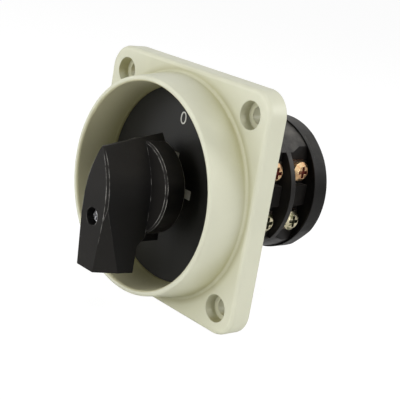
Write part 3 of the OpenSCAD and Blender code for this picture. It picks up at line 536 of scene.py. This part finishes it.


# %% [markdown]
# The ivory of the plate is a slightly greenish cream, satin, with hardly any
# grain. The blacks differ: the handle is a dark warm grey with a fine matt
# grain, the dial is smoother, and the decks are a brown-black thermoset with
# specks of filler and dust on top. The end plate is a cleaner and blacker
# moulding than the decks. The inner pieces are natural, waxy nylon.

# %% Moulded plastics
# The ivory's dark yellow colour is painted shade in the collar, its creases and its corner holes.
ivory_plastic = moulded(
    "ivory_plastic",
    colour=(0.668, 0.668, 0.524), cloudy=(0.636, 0.636, 0.498),
    painted_shade=(0.280, 0.258, 0.085), rubbed_and_highlight=(0.71, 0.71, 0.60),
    roughness=(0.36, 0.44), gloss=0.33, grain=(0.000010, 2400.0),
    amounts={
        "edge": 0.0004, "gain": 3.0, "rub_and_highlight": 0.2, "reach": 0.010, "closed": 2.6, "painted_shade": 0.72,
        "collar": True, "dust": 0.05, "specks": 0.0, "marks": 0.1,
    })
# The handle's near-white edge colour is a painted highlight, and its dark colour is painted shade
# on its flanks and beside the blade.
handle_plastic = moulded(
    "handle_plastic",
    colour=(0.0135, 0.0126, 0.0115), cloudy=(0.0165, 0.0152, 0.0138),
    painted_shade=(0.003, 0.003, 0.003), rubbed_and_highlight=(0.62, 0.61, 0.57),
    roughness=(0.32, 0.42), gloss=0.10, grain=(0.000016, 2600.0),
    amounts={
        "edge": 0.00024, "gain": 22.0, "rub_and_highlight": 0.95, "reach": 0.005, "painted_shade": 0.85, "flank_shade": 0.7,
        "dust": 0.02, "specks": 0.02, "marks": 0.08,
    })
dial_black = moulded(
    "dial_black",
    colour=(0.0085, 0.0082, 0.0070), cloudy=(0.0105, 0.0100, 0.0088),
    painted_shade=(0.005, 0.005, 0.005), rubbed_and_highlight=(0.03, 0.03, 0.028),
    roughness=(0.38, 0.47), gloss=0.27, grain=(0.000003, 1400.0),
    amounts={
        "edge": 0.0002, "gain": 3.0, "rub_and_highlight": 0.3, "reach": 0.001, "painted_shade": 0.3, "dust": 0.02,
        "specks": 0.0, "marks": 0.03,
    })
hub_plastic = moulded(
    "hub_plastic",
    colour=(0.006, 0.006, 0.006), cloudy=(0.008, 0.008, 0.008),
    painted_shade=(0.005, 0.005, 0.005), rubbed_and_highlight=(0.05, 0.05, 0.045),
    roughness=(0.34, 0.42), gloss=0.35, grain=(0.000010, 2400.0),
    amounts={
        "edge": 0.0003, "gain": 3.0, "rub_and_highlight": 0.3, "reach": 0.002, "painted_shade": 0.4, "dust": 0.02,
        "specks": 0.02, "marks": 0.1,
    })
bakelite = moulded(
    "bakelite",
    colour=(0.011, 0.010, 0.0095), cloudy=(0.016, 0.0145, 0.013),
    painted_shade=(0.004, 0.004, 0.004), rubbed_and_highlight=(0.07, 0.064, 0.057),
    roughness=(0.34, 0.48), gloss=0.23, grain=(0.000014, 2000.0),
    amounts={
        "edge": 0.0003, "gain": 3.0, "rub_and_highlight": 0.35, "reach": 0.003, "painted_shade": 0.6, "dust": 0.35,
        "specks": 0.12, "marks": 0.12,
    })
end_bakelite = moulded(
    "end_bakelite",
    colour=(0.006, 0.0056, 0.0052), cloudy=(0.008, 0.0074, 0.0068),
    painted_shade=(0.003, 0.003, 0.003), rubbed_and_highlight=(0.05, 0.046, 0.042),
    roughness=(0.34, 0.46), gloss=0.17, grain=(0.000014, 2000.0),
    amounts={
        "edge": 0.0003, "gain": 3.0, "rub_and_highlight": 0.35, "reach": 0.003, "painted_shade": 0.6, "dust": 0.15,
        "specks": 0.10, "marks": 0.12,
    })
nylon = moulded(
    "nylon",
    colour=(0.70, 0.68, 0.60), cloudy=(0.64, 0.61, 0.52),
    painted_shade=(0.32, 0.28, 0.20), rubbed_and_highlight=(0.78, 0.77, 0.72),
    roughness=(0.42, 0.55), gloss=0.4, grain=(0.000008, 2000.0),
    amounts={
        "edge": 0.0002, "gain": 3.0, "rub_and_highlight": 0.3, "reach": 0.0015, "painted_shade": 0.4, "dust": 0.0,
        "specks": 0.0, "marks": 0.1,
    })
print("mouldings: ivory, handle, dial, hub, decks, end plate, nylon")

# %% [markdown]
# Metals share a second builder. Plating is a mirror with a colour. It dulls in
# clouds and brightens where edges are rubbed. In the recesses it is covered by
# old grease or oxide, which isn't metal at all, so the mask also takes Metallic
# down there. The screws below the middle are laid paler as a painted reflection,
# with olive patches, so the height of a spot chooses between the two.

# %% The builder for plated metals
PALE_REFLECTION = (0.66, 0.64, 0.46)
OLIVE_PATCH = (0.12, 0.13, 0.05)
OLIVE_OXIDE = (0.035, 0.036, 0.014)
OLIVE_PATCH_FROM = 0.50
OLIVE_PATCH_FULL = 0.62
MIDDLE_BAND = 1.0 * MM
OXIDE_COVER = 0.8
OXIDE_DULLS = 0.3
LINES_DULL = 0.15


def plated(name, colour, dulled, rubbed_and_highlight, oxide, roughness, amounts):
    """A plated metal: its colours, a roughness range, and the amounts of its masks."""
    material = bpy.data.materials.new(name)
    material.use_nodes = True
    tree = material.node_tree
    shader = tree.nodes["Principled BSDF"]
    surface = use_group(tree, skin, Grain_Scale=3000.0, Cloud_Scale=amounts["clouds"])
    edge = use_group(tree, edges, Radius=0.00015, Gain=4.0)
    recess_mask = use_group(tree, recess, Reach=amounts["reach"], Gain=amounts["gain"])
    lines = use_group(tree, hairlines, Line_Scale=900.0, Width=0.03)
    shade = blend(tree, surface.outputs["Clouds"], colour, dulled)
    # Painted reflection: below the middle the yellow is laid paler, with olive patches.
    if amounts.get("paler_below"):
        place = add_node(tree, "ShaderNodeSeparateXYZ")
        wire(tree, add_node(tree, "ShaderNodeTexCoord").outputs["Object"], place.inputs[0])
        below = spread(tree, place.outputs["Z"], -MIDDLE_BAND, MIDDLE_BAND, 1, 0)
        paler = number(tree, "MULTIPLY", below, amounts["paler_below"])
        shade = blend(tree, paler, shade, PALE_REFLECTION)
        patches = spread(
            tree, surface.outputs["Clouds"], OLIVE_PATCH_FROM, OLIVE_PATCH_FULL, 0, amounts["paler_below"])
        shade = blend(tree, number(tree, "MULTIPLY", below, patches), shade, OLIVE_PATCH)
        oxide = blend(tree, below, oxide, OLIVE_OXIDE)
    bright = number(tree, "MULTIPLY", edge.outputs["Rub And Highlight"], amounts["rub_and_highlight"])
    shade = blend(tree, bright, shade, rubbed_and_highlight)
    covered = number(tree, "MULTIPLY", recess_mask.outputs["Shade And Oxide"], amounts["oxide"])
    shade = blend(tree, covered, shade, oxide)
    wire(tree, shade, shader.inputs["Base Color"])
    bare = number(tree, "SUBTRACT", 1, number(tree, "MULTIPLY", covered, OXIDE_COVER))
    wire(tree, bare, shader.inputs["Metallic"])
    dull = spread(tree, surface.outputs["Clouds"], 0, 1, *roughness)
    dull = number(tree, "ADD", dull, number(tree, "MULTIPLY", covered, OXIDE_DULLS))
    worn = number(tree, "MULTIPLY", lines.outputs["Lines"], LINES_DULL)
    wire(tree, number(tree, "ADD", dull, worn), shader.inputs["Roughness"])
    bump = add_node(tree, "ShaderNodeBump", Strength=1.0, Distance=amounts["height"])
    wire(tree, surface.outputs["Height"], bump.inputs["Height"])
    wire(tree, edge.outputs["Normal"], bump.inputs["Normal"])
    wire(tree, bump.outputs["Normal"], shader.inputs["Normal"])
    return material


# %% [markdown]
# The steel is zinc plated, the strips are a rolled copper alloy, and the
# terminal screws are yellow, with reddish oxide in their slots. The clamping
# plates have turned dark.

# %% Plated metals
zinc_steel = plated(
    "zinc_steel",
    colour=(0.56, 0.57, 0.60), dulled=(0.44, 0.45, 0.48),
    rubbed_and_highlight=(0.75, 0.75, 0.76), oxide=(0.03, 0.028, 0.025),
    roughness=(0.24, 0.40),
    amounts={
        "clouds": 220.0, "rub_and_highlight": 0.5, "reach": 0.0012, "gain": 1.6, "oxide": 0.7,
        "height": 0.000012,
    })
copper_strip = plated(
    "copper_strip",
    colour=(0.72, 0.40, 0.25), dulled=(0.50, 0.24, 0.14),
    rubbed_and_highlight=(0.85, 0.55, 0.38), oxide=(0.06, 0.025, 0.015),
    roughness=(0.25, 0.42),
    amounts={
        "clouds": 160.0, "rub_and_highlight": 0.4, "reach": 0.0015, "gain": 1.4, "oxide": 0.6,
        "height": 0.000010,
    })
brass_screws = plated(
    "brass_screws",
    colour=(0.80, 0.60, 0.34), dulled=(0.66, 0.34, 0.17),
    rubbed_and_highlight=(0.92, 0.80, 0.55), oxide=(0.15, 0.020, 0.010),
    roughness=(0.22, 0.36),
    amounts={
        "clouds": 420.0, "rub_and_highlight": 0.6, "reach": 0.0014, "gain": 3.2, "oxide": 1.0,
        "height": 0.000014, "paler_below": 0.8,
    })
bright_screw = plated(
    "bright_screw",
    colour=(0.88, 0.88, 0.90), dulled=(0.74, 0.75, 0.78),
    rubbed_and_highlight=(0.95, 0.95, 0.95), oxide=(0.05, 0.05, 0.05),
    roughness=(0.22, 0.36),
    amounts={
        "clouds": 500.0, "rub_and_highlight": 0.8, "reach": 0.0008, "gain": 1.6, "oxide": 0.6,
        "height": 0.000020,
    })
dark_clamp_steel = plated(
    "dark_clamp_steel",
    colour=(0.10, 0.085, 0.07), dulled=(0.05, 0.04, 0.035),
    rubbed_and_highlight=(0.40, 0.33, 0.24), oxide=(0.012, 0.010, 0.009),
    roughness=(0.34, 0.50),
    amounts={
        "clouds": 300.0, "rub_and_highlight": 0.4, "reach": 0.0015, "gain": 1.6, "oxide": 0.8,
        "height": 0.000012,
    })
print("metals: zinc, copper, yellow screws, bright screw, dark clamps")

# %% [markdown]
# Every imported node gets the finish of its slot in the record. Three kinds
# differ: the square clamping plates are nearly black beside their bright
# screws, the end plate is blacker than the decks, and the screw in the handle
# is brighter and rougher in its skin, because it shows as small glints in its
# dark hole.

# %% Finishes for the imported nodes
slots = {
    "ivory_plastic": ivory_plastic, "handle_plastic": handle_plastic, "dial_black": dial_black,
    "hub_plastic": hub_plastic, "bakelite": bakelite, "nylon": nylon, "zinc_steel": zinc_steel,
    "copper_strip": copper_strip, "brass_screws": brass_screws,
}
finish_of = {part["node"]: slots[part["material_slot"]] for part in frame["record"]["subparts"]}
for clamp in ("clamp_plates_1", "clamp_plates_2"):
    finish_of[clamp] = dark_clamp_steel
finish_of["handle_screw"] = bright_screw
finish_of["end_plate"] = end_bakelite
for node_name, finish in finish_of.items():
    node = frame["nodes"][node_name]
    node.data.materials.clear()
    node.data.materials.append(finish)
print("finished nodes:", len(finish_of))

# %% [markdown]
# The mouldings that the eye rests on get truly rounded edges. Each is a copy
# of its node: the loose triangles are merged, flat neighbours are joined into
# one face, and a Bevel modifier rounds what is left of sharp edges. Weighted
# normals then keep the large faces flat beside their narrow rounds. The copy
# stands for the node, which stays behind it for collision, hidden.

# %% Softened copies
MERGE_WITHIN = 0.002 * MM
FLAT_WITHIN = math.radians(0.5)
SHARP_ABOVE = math.radians(30)
SMOOTH_BELOW = math.radians(32)
ROUND_STEPS = 2
EDGE_ROUND = 0.22 * MM
bodies = frame["record"]["behaviour"]["bodies"]
body_of = {node: body for body, nodes in bodies.items() for node in nodes}


def merged_copy(name, node_name):
    """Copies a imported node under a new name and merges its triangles, left in edit mode."""
    piece = bpy.data.objects.new(name, frame["nodes"][node_name].data.copy())
    bpy.context.scene.collection.objects.link(piece)
    bpy.ops.object.select_all(action="DESELECT")
    bpy.context.view_layer.objects.active = piece
    piece.select_set(True)
    bpy.ops.mesh.customdata_custom_splitnormals_clear()
    bpy.ops.object.mode_set(mode="EDIT")
    bpy.ops.mesh.select_all(action="SELECT")
    bpy.ops.mesh.remove_doubles(threshold=MERGE_WITHIN)
    return piece


def softened(node_name, width):
    """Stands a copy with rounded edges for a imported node."""
    piece = merged_copy("soft_" + node_name, node_name)
    bpy.ops.mesh.dissolve_limited(angle_limit=FLAT_WITHIN)
    bpy.ops.object.mode_set(mode="OBJECT")
    bevel = piece.modifiers.new("rounded_edges", "BEVEL")
    bevel.width = width
    bevel.segments = ROUND_STEPS
    bevel.limit_method = "ANGLE"
    bevel.angle_limit = SHARP_ABOVE
    bpy.ops.object.modifier_apply(modifier=bevel.name)
    bpy.ops.object.shade_smooth_by_angle(angle=SMOOTH_BELOW)
    even = piece.modifiers.new("even_normals", "WEIGHTED_NORMAL")
    even.keep_sharp = True
    bpy.ops.object.modifier_apply(modifier=even.name)
    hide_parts(node_name)
    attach(piece, body_of[node_name])
    print("softened", node_name, "faces:", len(piece.data.polygons))


for node_name in ("end_plate", "contact_deck_1", "contact_deck_2", "bearing_plate"):
    softened(node_name, EDGE_ROUND)

# %% [markdown]
# The screw in the handle glints just inside its hole, so its cheese head stands
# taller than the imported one's. The front vertices of the head, found by their
# depth, move forward in a copy, and the slot keeps its own depth.

# %% A taller head for the handle's screw
HEAD_RISE = 1.9 * MM
HEAD_FRONT_DEPTH = 1.2 * MM
head_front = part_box("handle_screw")[0][1]
tall_screw = merged_copy("tall_handle_screw", "handle_screw")
bpy.ops.mesh.select_all(action="DESELECT")
bpy.ops.mesh.select_mode(type="VERT")
bpy.ops.object.mode_set(mode="OBJECT")
for vertex in tall_screw.data.vertices:
    vertex.select = vertex.co.y < head_front + HEAD_FRONT_DEPTH
bpy.ops.object.mode_set(mode="EDIT")
bpy.ops.transform.translate(value=(0, -HEAD_RISE, 0))
bpy.ops.object.mode_set(mode="OBJECT")
bpy.ops.object.shade_smooth_by_angle(angle=SMOOTH_BELOW)
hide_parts("handle_screw")
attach(tall_screw, "rotor")
head_now = min(vertex.co.y for vertex in tall_screw.data.vertices)
print("screw head at mm:", round(head_now / MM, 2))

# %% [markdown]
# The figures and marks on the dial are white paint. It has worn thin in places,
# where a noise mixes in the dark of the dial.

# %% The print's finish
INK_WHITE = (0.60, 0.59, 0.54)
INK_THIN = (0.32, 0.31, 0.28)
INK_THIN_SHARE = 0.35
INK_GRAIN = 0.01 * MM
INK_ROUGHNESS = (0.45, 0.6)
print_white = bpy.data.materials.new("print_white")
print_white.use_nodes = True
tree = print_white.node_tree
shader = tree.nodes["Principled BSDF"]
surface = use_group(tree, skin, Grain_Scale=2600.0, Cloud_Scale=900.0)
thin_ink = number(tree, "MULTIPLY", surface.outputs["Clouds"], INK_THIN_SHARE)
wire(tree, blend(tree, thin_ink, INK_WHITE, INK_THIN), shader.inputs["Base Color"])
ink_dull = spread(
    tree, surface.outputs["Height"], CLOUDS_FROM, CLOUDS_FULL, *INK_ROUGHNESS)
wire(tree, ink_dull, shader.inputs["Roughness"])
ink_bump = add_node(tree, "ShaderNodeBump", Strength=1.0, Distance=INK_GRAIN)
wire(tree, surface.outputs["Height"], ink_bump.inputs["Height"])
wire(tree, ink_bump.outputs["Normal"], shader.inputs["Normal"])
print("print:", print_white.name)

# %% [markdown]
# The figures 1, 0 and 2 name the three positions, in a plain upright hand. A
# text object one unit tall gives the outline, so the numbers of a glyph and its
# stroke are shares of that. It is made a mesh and only then brought to its size
# and laid on the dial, a print's thickness proud of it. This font's 1 is a bare
# bar, so a slanting stroke is joined to its top.

# %% Printed figures
DIAL_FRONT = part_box("dial_plate")[0][1]
FIGURE_TALL = 3.3 * MM
FIGURE_STRETCH = 1.10
FIGURE_ORBIT = 18.3 * MM
ZERO_ASIDE = 0.4 * MM
PRINT_THICK = 0.04 * MM
GLYPH_DEPTH_SHARE = 0.01
GLYPH_OFFSET_SHARE = -0.012
STROKE_LENGTH_SHARE = 0.30
STROKE_WIDTH_SHARE = 0.9
STROKE_DEPTH_SHARE = 0.018
STROKE_SLANT = math.radians(48)


def settle(piece, body):
    """Applies the place of a finished piece and hangs it on its body."""
    bpy.ops.object.select_all(action="DESELECT")
    bpy.context.view_layer.objects.active = piece
    piece.select_set(True)
    bpy.ops.object.transform_apply(location=True, rotation=True, scale=True)
    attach(piece, body)


def with_stroke(stem):
    """Joins a slanting stroke to the top left of a 1, whose glyph is a bare stem."""
    corners = [Vector(c) for c in stem.bound_box]
    left = min(c.x for c in corners)
    wide = max(c.x for c in corners) - left
    top = max(c.y for c in corners)
    reach = STROKE_LENGTH_SHARE * top
    bpy.ops.object.select_all(action="DESELECT")
    bpy.ops.mesh.primitive_cube_add(size=1, location=(0, 0, 0))
    stroke = bpy.context.object
    stroke.scale = (wide * STROKE_WIDTH_SHARE, reach, STROKE_DEPTH_SHARE)
    stroke.rotation_euler = (0, 0, -STROKE_SLANT)
    stroke_x = left + wide / 2 - reach * math.sin(STROKE_SLANT) / 2
    stroke_y = top - wide / 2 - reach * math.cos(STROKE_SLANT) / 2
    stroke.location = (stroke_x, stroke_y, 0)
    stem.select_set(True)
    bpy.context.view_layer.objects.active = stem
    bpy.ops.object.join()
    return bpy.context.object


def figure(text, x, z):
    """Prints one figure upright on the dial, centred at x and z."""
    bpy.ops.object.select_all(action="DESELECT")
    bpy.ops.object.text_add(location=(0, 0, 0))
    glyph = bpy.context.object.data
    glyph.body = text
    glyph.size = 1
    glyph.extrude = GLYPH_DEPTH_SHARE
    glyph.offset = GLYPH_OFFSET_SHARE
    bpy.ops.object.convert(target="MESH")
    piece = bpy.context.object
    if text == "1":
        piece = with_stroke(piece)
    piece.name = "dial_figure_" + text
    corners = [Vector(c) for c in piece.bound_box]
    low = Vector([min(c[i] for c in corners) for i in range(3)])
    high = Vector([max(c[i] for c in corners) for i in range(3)])
    middle = (low + high) / 2
    size = high - low
    tall_scale = FIGURE_TALL / size.y
    print_scale = PRINT_THICK / size.z
    shrink = Matrix.Diagonal((FIGURE_STRETCH * tall_scale, tall_scale, print_scale, 1))
    upright = Matrix.Rotation(math.radians(90), 4, "X")
    place = Matrix.Translation((x, DIAL_FRONT - PRINT_THICK / 2, z))
    piece.matrix_world = place @ upright @ shrink @ Matrix.Translation(-middle)
    piece.data.materials.append(print_white)
    settle(piece, "switch_body")


figure("0", ZERO_ASIDE, FIGURE_ORBIT)
figure("1", -FIGURE_ORBIT, 0)
figure("2", FIGURE_ORBIT, 0)
print("figures printed: 1 0 2")

# %% [markdown]
# Beside the neck, half under the handle's boss, small pale marks show which
# way each position lies. They are thin raised tabs of the dial, so each is a
# block with bevelled edges, in the same worn white.

# %% Dial marks
MARK_THICK = 0.25 * MM
MARK_SUNK = 0.02 * MM
MARK_WIDE = 2.4 * MM
MARK_TALL = 2.5 * MM
MARK_ROUND = 0.10 * MM
MARK_SMOOTH_BELOW = math.radians(35)
MARK_PLACES = {
    "dial_mark_top": (-0.1 * MM, 7.75 * MM),
    "dial_mark_right": (6.8 * MM, -0.7 * MM),
    "dial_mark_left": (-6.8 * MM, -0.7 * MM),
}


def dial_mark(name, x, z):
    """A low tab on the dial with bevelled edges."""
    bpy.ops.object.select_all(action="DESELECT")
    bpy.ops.mesh.primitive_cube_add(size=1, location=(0, 0, 0))
    piece = bpy.context.object
    piece.name = name
    piece.scale = (MARK_WIDE, MARK_THICK, MARK_TALL)
    bpy.ops.object.transform_apply(location=True, rotation=True, scale=True)
    bpy.ops.object.mode_set(mode="EDIT")
    bpy.ops.mesh.select_all(action="SELECT")
    bpy.ops.mesh.bevel(offset=MARK_ROUND, segments=ROUND_STEPS, affect="EDGES")
    bpy.ops.object.mode_set(mode="OBJECT")
    bpy.ops.object.shade_smooth_by_angle(angle=MARK_SMOOTH_BELOW)
    piece.location = (x, DIAL_FRONT - MARK_THICK / 2 + MARK_SUNK, z)
    piece.data.materials.append(print_white)
    settle(piece, "switch_body")


for mark_name, (x, z) in MARK_PLACES.items():
    dial_mark(mark_name, x, z)
print("marks set on the dial at y", round(DIAL_FRONT / MM, 2))
